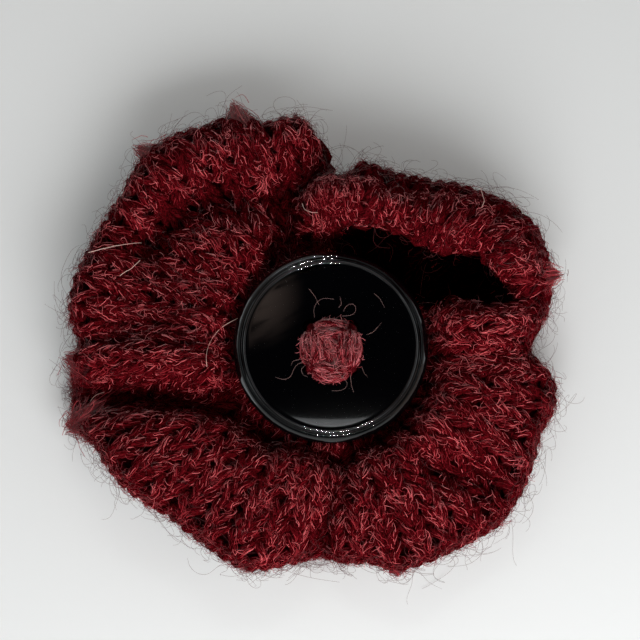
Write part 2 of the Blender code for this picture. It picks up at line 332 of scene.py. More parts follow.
def petal_height(angle, radius):
    """Height of the fabric's upper face at an angle in degrees and a radius."""
    x = radius * np.cos(np.radians(angle))
    y = radius * np.sin(np.radians(angle))
    outward = ease((radius - HUB_RADIUS) / SHOULDER_WIDTH)
    beyond_button = ease((radius - HUB_RADIUS + 0.8 * MM) / (2.0 * MM))
    share = (radius - HUB_RADIUS) / (rim_reach(angle) - HUB_RADIUS)
    height = HUB_HEIGHT + (SHOULDER_HEIGHT - HUB_HEIGHT) * outward
    height = height - RIM_DROOP * ease((share - 0.5) / 0.5)
    waves = np.sin(RUFFLE_COUNT * np.radians(angle))
    height = height + RUFFLE_HEIGHT * waves * np.clip(share, 0.0, 1.2) ** 2
    for line, width, rise, steepness in FOLDS.values():
        swell = np.exp(-(distance_to_line(x, y, line) / (width * MM)) ** steepness)
        height = height + rise * MM * swell * (outward if rise > 0.0 else beyond_button)
    return np.maximum(height, FABRIC_THICKNESS * 0.75)


def fabric_back(angle, radius):
    """Height of the fabric's lower face, one thickness below and never below the rest."""
    step = 0.3 * MM
    turn = np.degrees(step / radius)
    here = petal_height(angle, radius)
    slope_out = (petal_height(angle, radius + step) - here) / step
    slope_round = (petal_height(angle + turn, radius) - here) / step
    lean = np.sqrt(1.0 + slope_out ** 2 + slope_round ** 2)
    outward = ease((radius - HUB_RADIUS) / SHOULDER_WIDTH)
    below = HUB_HEIGHT + (FABRIC_THICKNESS - HUB_HEIGHT) * outward
    return np.maximum(here - below * lean, 0.0)


# The skin of the fabric is a table of points: rows run round the flower from the seam,
# columns run out over the upper face, round the free edge, and back under to the middle.
ROUND_STEPS = 720
FACE_STEPS = 90
EDGE_STEPS = 9


def even_steps(points, count):
    """The same lines with their points spread evenly along them."""
    lengths = np.linalg.norm(np.diff(points, axis=1), axis=2)
    travel = np.concatenate([np.zeros((len(points), 1)), np.cumsum(lengths, axis=1)], axis=1)
    result = np.empty((len(points), count, 3))
    for i in range(len(points)):
        wanted = np.linspace(0.0, travel[i, -1], count)
        for axis in range(3):
            result[i, :, axis] = np.interp(wanted, travel[i], points[i, :, axis])
    return result


def skin_lines(angle):
    """Points of the upper face and of the lower face along each angle in degrees."""
    angle = angle[:, None]
    reach = rim_reach(angle) - EDGE_ROUNDING
    share = np.linspace(0.0, 1.0, 260)[None, :]
    radius = INNER_RADIUS + (reach - INNER_RADIUS) * share
    turn = np.radians(angle) + 0.0 * radius
    across = np.stack([radius * np.cos(turn), radius * np.sin(turn)], axis=2)
    upper = np.concatenate([across, petal_height(angle, radius)[:, :, None]], axis=2)
    lower = np.concatenate([across, fabric_back(angle, radius)[:, :, None]], axis=2)
    return upper + hub, lower[:, ::-1] + hub


def lean_over_pocket(points):
    """How far the upper part of the far right roll leans over the pocket beside it."""
    x, y = points[:, :, 0] - hub[0], points[:, :, 1] - hub[1]
    angle = np.degrees(np.arctan2(y, x)) % 360.0
    beside = ease((angle - 12.0) / 10.0) * ease((100.0 - angle) / 25.0)
    toward = np.array(POCKET_MIDDLE) * MM + hub[:2] - points[:, :, :2]
    toward /= np.linalg.norm(toward, axis=2, keepdims=True) + 1e-9
    away_share = ease((distance_to_line(x, y, FOLDS["pocket"][0]) - 8.0 * MM) / (8.0 * MM))
    over = OVERHANG * beside * (1.0 - away_share)
    over = over * ease((points[:, :, 2] - 7.0 * MM) / (8.0 * MM))
    return toward * over[:, :, None]


def make_skin():
    """Evenly spread table of points and unit normals of the whole skin."""
    angle = np.linspace(0.0, 360.0, 1440, endpoint=False) + SEAM_ANGLE
    upper, lower = skin_lines(angle)
    ring = even_steps(upper, 50)[:, 40]
    lengths = np.linalg.norm(np.roll(ring, -1, axis=0) - ring, axis=1)
    travel = np.concatenate([[0.0], np.cumsum(lengths)])
    wanted = np.linspace(0.0, travel[-1], ROUND_STEPS, endpoint=False)
    angle = np.interp(wanted, travel, np.append(angle, SEAM_ANGLE + 360.0))
    upper, lower = skin_lines(angle)
    upper = even_steps(upper, FACE_STEPS)
    lower = even_steps(lower, FACE_STEPS)
    top, bottom = upper[:, -1], lower[:, 0]
    outward = np.stack([np.cos(np.radians(angle)), np.sin(np.radians(angle))], axis=1)
    edge = []
    for i in range(1, EDGE_STEPS + 1):
        turn = math.pi * i / (EDGE_STEPS + 1)
        share = (1.0 - math.cos(turn)) / 2.0
        point = top + (bottom - top) * share
        point[:, :2] += outward * EDGE_ROUNDING * math.sin(turn)
        edge.append(point)
    points = np.concatenate([upper, np.stack(edge, axis=1), lower], axis=1)
    points[:, :, :2] += lean_over_pocket(points)
    along = np.gradient(points, axis=1)
    around = (np.roll(points, -1, axis=0) - np.roll(points, 1, axis=0)) / 2.0
    normals = np.cross(around, along)
    normals *= np.sign(normals[:, 5:6, 2:3]).mean() or 1.0
    for i in range(3):
        normals = normals + np.roll(normals, 1, axis=0) + np.roll(normals, -1, axis=0)
    normals /= np.linalg.norm(normals, axis=2, keepdims=True) + 1e-12
    return points, normals


skin_points, skin_normals = make_skin()
SKIN_STEPS = skin_points.shape[1]


def on_skin(way_round, way_out, lift):
    """Points at shares round the flower and along the skin, lifted off it in metres.

    way_round is 0 to 1 from the seam; way_out is 0 at the middle of the upper face, 1 at
    its edge, and 2 to 3 on the lower face.
    """
    edge_share = (EDGE_STEPS + 1) / 2.0
    knots = (0.0, 1.0, 2.0, 3.0)
    columns = (0.0, FACE_STEPS - 1.0, FACE_STEPS + EDGE_STEPS, SKIN_STEPS - 1.0)
    column = np.interp(way_out, knots, columns)
    row = np.asarray(way_round) * ROUND_STEPS
    row_low = np.floor(row).astype(int)
    column_low = np.clip(np.floor(column).astype(int), 0, SKIN_STEPS - 2)
    row_share = (row - row_low)[..., None]
    column_share = (column - column_low)[..., None]
    first, second = row_low % ROUND_STEPS, (row_low + 1) % ROUND_STEPS
    total = []
    for table in (skin_points, skin_normals):
        near = table[first, column_low] * (1 - row_share) + table[second, column_low] * row_share
        far = (table[first, column_low + 1] * (1 - row_share)
               + table[second, column_low + 1] * row_share)
        total.append(near * (1 - column_share) + far * column_share)
    normal = total[1] / (np.linalg.norm(total[1], axis=-1, keepdims=True) + 1e-12)
    return total[0] + normal * np.asarray(lift)[..., None], normal


# Painted shade: the near-black that the wool's colour is mixed towards deep in the pocket.
POCKET_SHADE_COLOR = (0.0012, 0.0001, 0.0001, 1.0)


def wool_material(name, dark, bright, streaks=True):
    """Spun wool: lighter and darker hairs along the strand, uneven dye, painted shade in the
    pocket.
    """
    material, tree, shader = principled(name, bright, 0.95)
    links = tree.links
    shader.inputs["Specular IOR Level"].default_value = 0.0
    hairs = add_node(tree, "ShaderNodeTexNoise", {
        "Scale": 7.0 if streaks else 1800.0, "Detail": 5.0, "Roughness": 0.65})
    if streaks:
        strand = add_node(tree, "ShaderNodeAttribute", attribute_name="strand")
        links.new(strand.outputs["Vector"], hairs.inputs["Vector"])
    dye = add_node(tree, "ShaderNodeTexNoise", {"Scale": 160.0, "Detail": 2.0})
    mixed = add_node(tree, "ShaderNodeMath", {1: 0.4}, operation="MULTIPLY_ADD")
    links.new(dye.outputs["Fac"], mixed.inputs[0])
    links.new(hairs.outputs["Fac"], mixed.inputs[2])
    shade = add_node(tree, "ShaderNodeValToRGB")
    first, last = shade.color_ramp.elements
    first.position, first.color = 0.6, (*dark, 1.0)
    last.position, last.color = 0.86, (*bright, 1.0)
    links.new(mixed.outputs["Value"], shade.inputs["Fac"])
    # Painted shade: the colour is mixed towards near-black deep in the pocket.
    deep = add_node(tree, "ShaderNodeAttribute", attribute_name="deep")
    dimmed = add_node(tree, "ShaderNodeMix", {"B": POCKET_SHADE_COLOR}, data_type="RGBA")
    links.new(deep.outputs["Fac"], dimmed.inputs["Factor"])
    links.new(shade.outputs["Color"], dimmed.inputs["A"])
    links.new(dimmed.outputs["Result"], shader.inputs["Base Color"])
    bump = add_node(tree, "ShaderNodeBump", {"Strength": 0.8, "Distance": 0.25 * MM})
    links.new(hairs.outputs["Fac"], bump.inputs["Height"])
    links.new(bump.outputs["Normal"], shader.inputs["Normal"])
    return material


def quad_table(rows, columns, wrap_rows=False, wrap_columns=False, offset=0):
    """Faces between neighbouring points of a table of rows and columns."""
    i = np.arange(rows if wrap_rows else rows - 1)[:, None]
    j = np.arange(columns if wrap_columns else columns - 1)[None, :]
    i_next, j_next = (i + 1) % rows, (j + 1) % columns
    faces = np.stack(np.broadcast_arrays(
        i * columns + j, i * columns + j_next, i_next * columns + j_next,
        i_next * columns + j), axis=-1)
    return faces.reshape(-1, 4) + offset


# Painted shade: the ground is the body of the fabric, but its wool is coloured near-black for
# the shade in the gaps between the stitches.
ground_wool_shade = wool_material("ground_wool_shade", (0.008, 0.0003, 0.0006), (0.03, 0.001, 0.002),
                            streaks=False)
GROUND_SINK = 1.1 * MM
ground_round = np.arange(0, ROUND_STEPS, 2)
ground_out = np.concatenate([np.linspace(0, 1, 34), np.linspace(1, 2, 7)[1:-1],
                             np.linspace(2, 3, 30)])
way_round, way_out = np.meshgrid(ground_round / ROUND_STEPS, ground_out, indexing="ij")
ground_points, _ = on_skin(way_round, way_out, np.full(way_out.shape, -GROUND_SINK))
ground_points[:, :, 2] = np.maximum(ground_points[:, :, 2], 0.4 * MM)
ground = add_mesh("knitted_ground", ground_points,
                  [quad_table(*way_out.shape, wrap_rows=True, wrap_columns=True)[:, ::-1]],
                  ground_wool_shade)
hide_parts("knitted_flower")
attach(ground, root)

# Stitches: every course is one strand of three-ply wool worked into knit loops that stand
# proud in columns, with a sunk purl between them, over both faces of the fabric.  The ribs
# are fewer towards the middle, where the knitting is decreased.
YARN_RADIUS = 0.78 * MM
PLY_COUNT = 3
PLY_PITCH = 5.2 * MM
random = np.random.default_rng(11)

# One rib, as (share across, share of a course towards the middle, lift in millimetres).
HALF_LOOP = (
    (0.470, 0.00, -1.15), (0.330, -0.10, -0.70), (0.150, -0.16, -0.10),
    (0.070, 0.05, 0.42), (0.110, 0.38, 0.62), (0.215, 0.72, 0.62), (0.320, 1.02, 0.45),
    (0.385, 1.25, 0.05), (0.330, 1.44, -0.42), (0.160, 1.52, -0.62),
)


def rib_path(course, ribs, course_share, lift_scale=1.0, loose=1.0):
    """Way round, way out and lift of one course of knitting."""
    half = np.array(HALF_LOOP)
    left = half * (-1.0, 1.0, 1.0)
    rib = np.concatenate([left, half[::-1]])
    count = len(rib)
    step = np.repeat(np.arange(ribs), count)
    across = np.tile(rib[:, 0], ribs)
    inward = np.tile(rib[:, 1], ribs)
    lift = np.tile(rib[:, 2], ribs) * MM * lift_scale
    wobble = random.normal(0.0, 1.0, (5, ribs)) * loose
    size = 1.0 + 0.07 * wobble[0][step]
    across = across * size + 0.035 * wobble[1][step]
    inward = inward * (1.0 + 0.06 * wobble[2][step]) + 0.07 * wobble[3][step]
    lift = lift + 0.12 * MM * wobble[4][step]
    way_round = (step + 0.5 + across) / ribs
    way_out = course - inward * course_share
    return way_round, way_out, lift


def frames_along(paths):
    """Unit side vectors that follow each path without twisting."""
    tangents = np.gradient(paths, axis=1)
    tangents /= np.linalg.norm(tangents, axis=2, keepdims=True) + 1e-15
    helper = np.where(np.abs(tangents[:, :1, 2:3]) > 0.9, (1.0, 0.0, 0.0), (0.0, 0.0, 1.0))
    first = np.cross(tangents[:, 0], helper[:, 0])
    sides = np.empty_like(paths)
    sides[:, 0] = first / np.linalg.norm(first, axis=1, keepdims=True)
    for k in range(1, paths.shape[1]):
        side = sides[:, k - 1]
        side = side - tangents[:, k] * np.sum(side * tangents[:, k], axis=1, keepdims=True)
        sides[:, k] = side / (np.linalg.norm(side, axis=1, keepdims=True) + 1e-15)
    return sides, np.cross(tangents, sides)


def pocket_shade_mask(points):
    """Share of painted shade: 1 deep in the pocket and 0 outside it."""
    places = points - hub
    gap = distance_to_line(places[:, 0], places[:, 1], FOLDS["pocket"][0])
    inside = 1.0 - ease((gap - 5.5 * MM) / (2.5 * MM))
    return inside * (1.0 - ease((places[:, 2] - 9.0 * MM) / (4.0 * MM)))


def add_strands(name, paths, radius, sides, material, plies=0, pitch=1.0, taper=0.0):
    """Round closed strands along paths of equal point counts, as one object."""
    count, length = paths.shape[:2]
    radius = np.broadcast_to(np.asarray(radius, dtype=float), (count, length)).copy()
    share = np.linspace(0.0, 1.0, length)
    if taper:
        radius *= 1.0 - taper * share ** 2
    paths = paths.copy()
    paths[:, :, 2] = np.maximum(paths[:, :, 2], radius * 1.15)
    side, up = frames_along(paths)
    steps = np.linalg.norm(np.diff(paths, axis=1), axis=2)
    travel = np.concatenate([np.zeros((count, 1)), np.cumsum(steps, axis=1)], axis=1)
    turn = np.arange(sides) * 2.0 * math.pi / sides
    turn = np.broadcast_to(turn, (count, length, sides))
    swell = 1.0
    twist = travel[:, :, None] * 2.0 * math.pi / pitch
    if plies:
        slub = (np.sin(travel / (1.9 * MM) + np.arange(count)[:, None])
                + np.sin(travel / (0.83 * MM) + 2.0 * np.arange(count)[:, None]))
        swell = 1.0 + 0.13 * np.cos(plies * turn - twist) + 0.05 * slub[:, :, None]
    reach = (radius[:, :, None] * swell)[..., None]
    points = paths[:, :, None] + reach * (
        side[:, :, None] * np.cos(turn)[..., None] + up[:, :, None] * np.sin(turn)[..., None])
    per_strand = length * sides
    faces = quad_table(length, sides, wrap_columns=True)
    starts = np.arange(count)[:, None, None] * per_strand
    body = (faces[None] + starts).reshape(-1, 4)
    near_cap = (np.arange(sides)[::-1] + starts[:, 0]).reshape(-1, sides)
    far_cap = (np.arange(sides) + (length - 1) * sides + starts[:, 0]).reshape(-1, sides)
    body, near_cap, far_cap = body[:, ::-1], near_cap[:, ::-1], far_cap[:, ::-1]
    piece = add_mesh(name, points, [body, near_cap, far_cap], material)
    if plies:
        around = turn - twist / plies
        strand = np.stack([np.cos(around), np.sin(around),
                           np.broadcast_to(travel[:, :, None] / (5.0 * MM), around.shape)],
                          axis=-1)
        layer = piece.data.attributes.new("strand", "FLOAT_VECTOR", "POINT")
        layer.data.foreach_set("vector", strand.astype(np.float32).ravel())
        # Painted shade: how deep in the pocket each point lies, to darken the wool's colour
        # there.
        layer = piece.data.attributes.new("deep", "FLOAT", "POINT")
        depth = pocket_shade_mask(points.reshape(-1, 3))
        layer.data.foreach_set("value", depth.astype(np.float32))
    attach(piece, root)
    return piece


yarn_wool = wool_material("yarn_wool", (0.002, 0.0001, 0.0002), (0.15, 0.005, 0.009))
UPPER_COURSES = 13
COURSE_SHARE = 1.0 / UPPER_COURSES
UPPER_SINK = 0.35 * MM
LOWER_SINK = 1.5 * MM
ZONES = (
    # name, first and last course from the middle, ribs round the flower
    ("inner_courses", 3, 6, 30),
    ("middle_courses", 7, 9, 45),
    ("outer_courses", 10, 13, 60),
)
upper_roots = []
lower_roots = []
for name, first, last, ribs in ZONES:
    paths = []
    for course in range(first, last + 1):
        way_round, way_out, lift = rib_path(course * COURSE_SHARE, ribs, COURSE_SHARE)
        points, normals = on_skin(way_round, way_out, lift - UPPER_SINK)
        paths.append(points)
        upper_roots.append((points, normals, lift))
    add_strands(name, np.array(paths), YARN_RADIUS, 10, yarn_wool,
                                     plies=PLY_COUNT, pitch=PLY_PITCH)
    paths = []
    for course in range(first, last + 1):
        way_round, way_out, lift = rib_path(course * COURSE_SHARE, ribs, COURSE_SHARE)
        points, normals = on_skin(way_round + 0.5 / ribs, 3.0 - way_out, lift - LOWER_SINK)
        paths.append(points)
        lower_roots.append((points, normals, lift))
    add_strands(name + "_behind", np.array(paths), YARN_RADIUS, 8,
                                     yarn_wool, plies=PLY_COUNT, pitch=PLY_PITCH)

# Cast-on edge: the bound rim of the petals, where the knitting was begun with two strands of
# the same wool laid round each other all along the free edge.
EDGE_TURNS = 64
edge_way = np.linspace(0.0, 1.0, EDGE_TURNS * 12)
paths = []
for start in (0.0, math.pi):
    turn = edge_way * EDGE_TURNS * 2.0 * math.pi + start
    drift = 0.05 * np.sin(edge_way * 2.0 * math.pi * 23.0)
    points, normals = on_skin(edge_way, 1.45 + 0.30 * np.cos(turn) + drift,
                              (-0.95 + 0.35 * np.sin(turn)) * MM)
    paths.append(points)
    upper_roots.append((points, normals, np.full(len(points), 0.4 * MM)))
add_strands("cast_on_edge", np.array(paths), 0.95 * MM, 10, yarn_wool,
                                 plies=PLY_COUNT, pitch=PLY_PITCH)

# Hairs of the wool: single fibres that work loose from the spun yarn.  Most lie combed along
# their strand, others curl across the stitches, and fine long ones stand off the fabric and
# past its edge as a soft halo.
HAIR_SIDES = 3


def hair_material(name, color, gloss=0.3):
    """One dyed wool fibre, thin and slightly glossy."""
    material, tree, shader = principled(name, color, 0.55)
    shader.inputs["Specular IOR Level"].default_value = gloss
    return material


def root_table(courses):
    """Points, normals, directions, lifts and spacing along strands, where hairs start."""
    points = np.concatenate([course[0] for course in courses])
    normals = np.concatenate([course[1] for course in courses])
    lifts = np.concatenate([course[2] for course in courses])
    along = np.concatenate([np.gradient(course[0], axis=0) for course in courses])
    spacing = np.linalg.norm(along, axis=1) + 1e-9
    return points, normals, along / spacing[:, None], lifts, spacing


def combed_hairs(table, chosen, length, splay, lift, steps, radius=YARN_RADIUS):
    """Hairs that follow their strand along its outer side."""
    points, normals, along, lifts, spacing = table
    count = len(chosen)
    share = np.linspace(-0.5, 0.5, steps)[None, :]
    reach = random.uniform(*length, (count, 1)) * MM
    flip = np.where(random.random((count, 1)) < 0.5, -1.0, 1.0)
    place = chosen[:, None] + random.uniform(-0.5, 0.5, (count, 1)) + (
        flip * share * reach / spacing[chosen][:, None])
    place = np.clip(place, 0.0, len(points) - 1.001)
    first = np.floor(place).astype(int)
    part = (place - first)[..., None]
    centre = points[first] * (1.0 - part) + points[first + 1] * part
    normal = normals[first] * (1.0 - part) + normals[first + 1] * part
    heading = along[first] * (1.0 - part) + along[first + 1] * part
    across = np.cross(normal, heading)
    across /= np.linalg.norm(across, axis=2, keepdims=True) + 1e-9
    normal = np.cross(heading, across)
    normal /= np.linalg.norm(normal, axis=2, keepdims=True) + 1e-9
    around = random.uniform(-1.35, 1.35, (count, 1))
    around = around + random.normal(0.0, splay, (count, 1)) * share * reach / radius
    crimp = random.uniform(0.5, 1.4, (count, 1)) * 2.0 * math.pi * reach / (1.6 * MM)
    around = around + 0.10 * np.sin(share * crimp + random.uniform(0, 6.3, (count, 1)))
    rise = random.uniform(*lift, (count, 1)) * MM
    height = radius * 1.02 + rise * (0.4 + (share + 0.5) ** 2)
    return centre + height[..., None] * (normal * np.cos(around)[..., None]
                                         + across * np.sin(around)[..., None])


def loose_hairs(table, chosen, length, curl, rise, lean, steps, radius=YARN_RADIUS):
    """Curling hairs that start on their strand and leave it."""
    points, normals, along, lifts, spacing = (column[chosen] for column in table)
    count = len(chosen)
    across = np.cross(normals, along)
    across /= np.linalg.norm(across, axis=1, keepdims=True) + 1e-9
    around = random.uniform(-1.2, 1.2, (count, 1))
    out = normals * np.cos(around) + across * np.sin(around)
    start = points + out * radius * 0.9
    turn = random.normal(0.0, lean, (count, 1))
    heading = along * np.cos(turn) + across * np.sin(turn)
    heading *= np.where(random.random((count, 1)) < 0.5, -1.0, 1.0)
    side = np.cross(heading, normals)
    side /= np.linalg.norm(side, axis=1, keepdims=True) + 1e-9
    share = np.linspace(0.0, 1.0, steps)[None, :]
    length = random.uniform(*length, (count, 1)) * MM
    bend = random.normal(0.0, curl, (count, 1)) * share
    bend = bend + 0.5 * np.sin(share * random.uniform(3.0, 9.0, (count, 1))
                               + random.uniform(0.0, 6.3, (count, 1)))
    climb = random.uniform(*rise, (count, 1)) * (1.0 - 1.3 * share)
    step = (heading[:, None] * (np.cos(bend) * np.cos(climb))[..., None]
            + side[:, None] * (np.sin(bend) * np.cos(climb))[..., None]
            + normals[:, None] * np.sin(climb)[..., None])
    step *= (length / (steps - 1))[..., None]
    return start[:, None] + np.cumsum(step, axis=1) - step[:, :1]


cloth_points = skin_points[:, :FACE_STEPS:3][::3].reshape(-1, 3)
cloth_tree = KDTree(len(cloth_points))
for i, (x, y, z) in enumerate(cloth_points):
    cloth_tree.insert((x, y, 0.0), i)
cloth_tree.balance()


def nearest_cloth(points):
    """Numbers of the cloth points that lie straight below or above some points."""
    return [cloth_tree.find((x, y, 0.0))[1] for x, y in np.asarray(points)[:, :2]]


def fold_shade_share(points):
    """Share of painted shade on hairs: 0 on open cloth and 1 deep in a fold, from the height of
    the cloth round about.
    """
    upper = skin_points[:, :FACE_STEPS, 2]
    mean = upper
    for reach in (4, 8, 12):
        mean = (np.roll(mean, reach, axis=0) + np.roll(mean, -reach, axis=0) + mean) / 3.0
        padded = np.pad(mean, ((0, 0), (reach, reach)), mode="edge")
        mean = (padded[:, :-2 * reach] + padded[:, 2 * reach:] + mean) / 3.0
    depth = (mean - upper)[::3, ::3].ravel()
    return ease(depth[nearest_cloth(points)] / (2.2 * MM))


upper_table = root_table(upper_roots)
lower_table = root_table(lower_roots)
upper_front = np.flatnonzero(upper_table[3] > -0.2 * MM)
lower_front = np.flatnonzero(lower_table[3] > -0.1 * MM)
# Painted shade: how deep each root lies in a fold or in the pocket, to pick darker hairs there.
hollow = fold_shade_share(upper_table[0][upper_front])
pocket_shade_share = pocket_shade_mask(upper_table[0][upper_front])
clump = upper_table[0][upper_front] / (2.2 * MM)
clump = (np.sin(clump[:, 0] * 1.3 + 2.0 * np.sin(clump[:, 1] * 0.7))
         + np.sin(clump[:, 1] * 1.7 + 2.0 * np.sin(clump[:, 0] * 0.6))) / 2.0
HAIR_SHADES = (
    # name, colour, gloss, combed and loose hairs, liking for clumps, liking for hollows as
    # painted shade
    ("hairs_deep", (0.024, 0.0006, 0.0012), 0.0, 6500, 2200, -0.6, 1.0),
    ("hairs_wine", (0.15, 0.005, 0.009), 0.05, 7600, 2800, 0.0, -0.6),
    ("hairs_red", (0.38, 0.020, 0.030), 0.2, 7000, 2600, 0.6, -0.9),
    ("hairs_light", (0.86, 0.155, 0.17), 0.4, 3300, 2500, 0.4, -1.0),
)
for name, color, gloss, combed, loose, clumped, fold_shading in HAIR_SHADES:
    shade = hair_material(name, color, gloss)
    weight = np.clip(1.0 + clumped * clump + fold_shading * hollow, 0.0, None)
    # Painted shade: all but the darkest hairs are kept out of the pocket.
    weight *= 1.0 - 0.98 * pocket_shade_share * (name != "hairs_deep")
    weight /= weight.sum()
    chosen = random.choice(upper_front, combed, p=weight)
    paths = combed_hairs(upper_table, chosen, length=(0.8, 2.2), splay=0.25,
                         lift=(0.0, 0.12), steps=5)
    add_strands(name, paths, 0.052 * MM, HAIR_SIDES, shade, taper=0.5)
    chosen = random.choice(upper_front, loose, p=weight)
    paths = loose_hairs(upper_table, chosen, length=(0.8, 2.4), curl=1.8, rise=(0.0, 0.5),
                        lean=0.9, steps=7)
    add_strands(name + "_loose", paths, 0.040 * MM, HAIR_SIDES, shade,
                                     taper=0.4)
edge_roots = np.flatnonzero(upper_table[3] == 0.4 * MM)
halo_wool = hair_material("halo", (0.09, 0.012, 0.014))
HALO_RADIUS = 0.026 * MM
chosen = np.concatenate([random.choice(edge_roots, 1500), random.choice(upper_front, 500)])
paths = loose_hairs(upper_table, chosen, length=(2.0, 7.0), curl=3.2, rise=(0.2, 1.3),
                    lean=1.2, steps=14)
add_strands("halo", paths, HALO_RADIUS, HAIR_SIDES, halo_wool, taper=0.3)
chosen = random.choice(edge_roots, 170)
paths = loose_hairs(upper_table, chosen, length=(7.0, 13.0), curl=3.0, rise=(0.2, 0.9),
                    lean=1.2, steps=24)
add_strands("halo_long", paths, HALO_RADIUS, HAIR_SIDES, halo_wool,
                                 taper=0.3)
for name, color, count in (("edge_hairs", (0.17, 0.008, 0.013), 5200),
                           ("edge_hairs_red", (0.34, 0.018, 0.028), 2600)):
    chosen = random.choice(edge_roots, count)
    paths = loose_hairs(upper_table, chosen, length=(0.9, 2.8), curl=1.8, rise=(0.1, 1.0),
                        lean=1.2, steps=7)
    add_strands(name, paths, 0.045 * MM, HAIR_SIDES,
                                     hair_material(name, color), taper=0.4)
chosen = random.choice(lower_front, 5000)
paths = loose_hairs(lower_table, chosen, length=(1.0, 2.8), curl=1.6, rise=(0.0, 0.3),
                    lean=0.9, steps=6)
shade = hair_material("hairs_behind", (0.28, 0.014, 0.022))
add_strands("hairs_behind", paths, 0.07 * MM, HAIR_SIDES, shade, taper=0.4)

# Tufts where the cast-on corners and yarn ends stick out of the free edge: wedges of wool
# whose hairs run together towards a blunt point.
TUFTS = (
    # angle in degrees, distance and height in millimetres, heading off the spoke in degrees,
    # length and width in millimetres, hairs
    (20.0, 38.5, 8.5, -20.0, 3.6, 1.5, 520), (111.5, 43.4, 9.0, 0.0, 3.6, 1.4, 480),
    (131.5, 45.4, 8.5, 22.0, 4.4, 1.5, 560), (184.0, 42.6, 7.5, -25.0, 3.8, 1.3, 480),
    (196.5, 44.0, 5.5, 5.0, 3.4, 1.7, 640), (286.0, 38.5, 6.0, 10.0, 2.4, 0.9, 220),
)
TUFT_STEPS = 7
paths = []
share = np.linspace(0.0, 1.0, TUFT_STEPS)[None, :, None]
for angle, distance, height, turn, length, width, count in TUFTS:
    spoke = math.radians(angle)
    heading = math.radians(angle + turn)
    base = np.array((distance * math.cos(spoke), distance * math.sin(spoke), height)) * MM + hub
    ahead = np.array((math.cos(heading), math.sin(heading), -0.12)) * MM
    scatter = random.normal(0.0, 1.0, (count, 1, 3)) * (width, width, 0.7 * width) * MM
    start = base + scatter - ahead * random.uniform(0.0, 2.0, (count, 1, 1))
    end = base + 0.35 * scatter + ahead * length * random.uniform(0.35, 1.1, (count, 1, 1))
    bow = random.normal(0.0, 0.35 * MM, (count, 1, 3))
    paths.append(start + (end - start) * share + bow * np.sin(share * math.pi))
paths = np.concatenate(paths)
paths += np.cumsum(random.normal(0.0, 0.05 * MM, paths.shape), axis=1)
order = random.permutation(len(paths))
for name, color, first, last in (("edge_tufts_deep", (0.13, 0.004, 0.008), 0.0, 0.45),
                                 ("edge_tufts", (0.34, 0.014, 0.024), 0.45, 0.9),
                                 ("edge_tufts_light", (0.60, 0.06, 0.075), 0.9, 1.0)):
    part = paths[order[int(first * len(order)):int(last * len(order))]]
    add_strands(name, part, 0.06 * MM, HAIR_SIDES,
                                     hair_material(name, color), taper=0.5)

# The longest pale hairs: a few coarse undyed fibres that were carded in with the wool and lie
# caught across the petals, arched just clear of the stitches.
LONG_HAIRS = (
    # points in millimetres from the middle of the button
    ((-16.0, 5.6), (-18.8, 3.8), (-20.4, 1.3), (-21.2, -1.2), (-21.3, -3.1), (-21.1, -4.7)),
    ((-39.6, -7.3), (-41.2, -7.8), (-42.2, -9.2), (-42.7, -10.6), (-43.9, -12.1)),
    ((-33.2, 14.9), (-34.5, 13.0), (-36.4, 11.4)),
    ((-42.0, 15.8), (-37.8, 16.6), (-33.2, 18.6)),
    ((-5.0, 25.6), (-4.6, 24.2), (-3.2, 23.3), (-1.4, 23.2), (0.4, 23.6)),
    ((26.0, 26.8), (26.6, 24.4), (25.8, 22.2)),
)


def smooth_path(corners, count):
    """A smooth line of evenly shared points through a few corners."""
    corners = np.array(corners)
    knots = np.arange(len(corners))
    share = np.linspace(0.0, len(corners) - 1.0, count)
    fine = np.stack([np.interp(share, knots, column) for column in corners.T], axis=1)
    for i in range(4):
        fine[1:-1] = (fine[:-2] + 2.0 * fine[1:-1] + fine[2:]) / 4.0
    return fine


CURL_STEPS = 20
paths = []
for corners in LONG_HAIRS:
    flat = smooth_path(corners, CURL_STEPS) * MM + hub[:2]
    height = cloth_points[nearest_cloth(flat), 2] + 2.0 * MM
    for i in range(6):
        height[1:-1] = np.maximum(height[1:-1], (height[:-2] + height[2:]) / 2.0)
    paths.append(np.column_stack([flat, height]))
pale_wool = hair_material("pale_hairs", (0.80, 0.50, 0.44))
add_strands("long_pale_hairs", np.array(paths), 0.055 * MM, 5, pale_wool,
                                 taper=0.3)

# Button: one dished four-hole coat button, moulded in glossy black plastic, with a rounded
# outer rim, a narrow groove and a fine raised ring round the dish.  It is turned from its
# section and drilled, and the sewing wool holds it over the drawn-up middle.
BUTTON_STEPS = 192
DISH_LOW = 2.35
DISH_CURVE = 49.0
HOLE_SPACING = 7.0 * MM
HOLE_RADIUS = 1.5 * MM


def arc_points(centre, radius, first, last, count):
    """Points of a circular arc between two angles in degrees."""
    turn = np.radians(np.linspace(first, last, count))
    return [(centre[0] + radius * math.cos(t), centre[1] + radius * math.sin(t)) for t in turn]


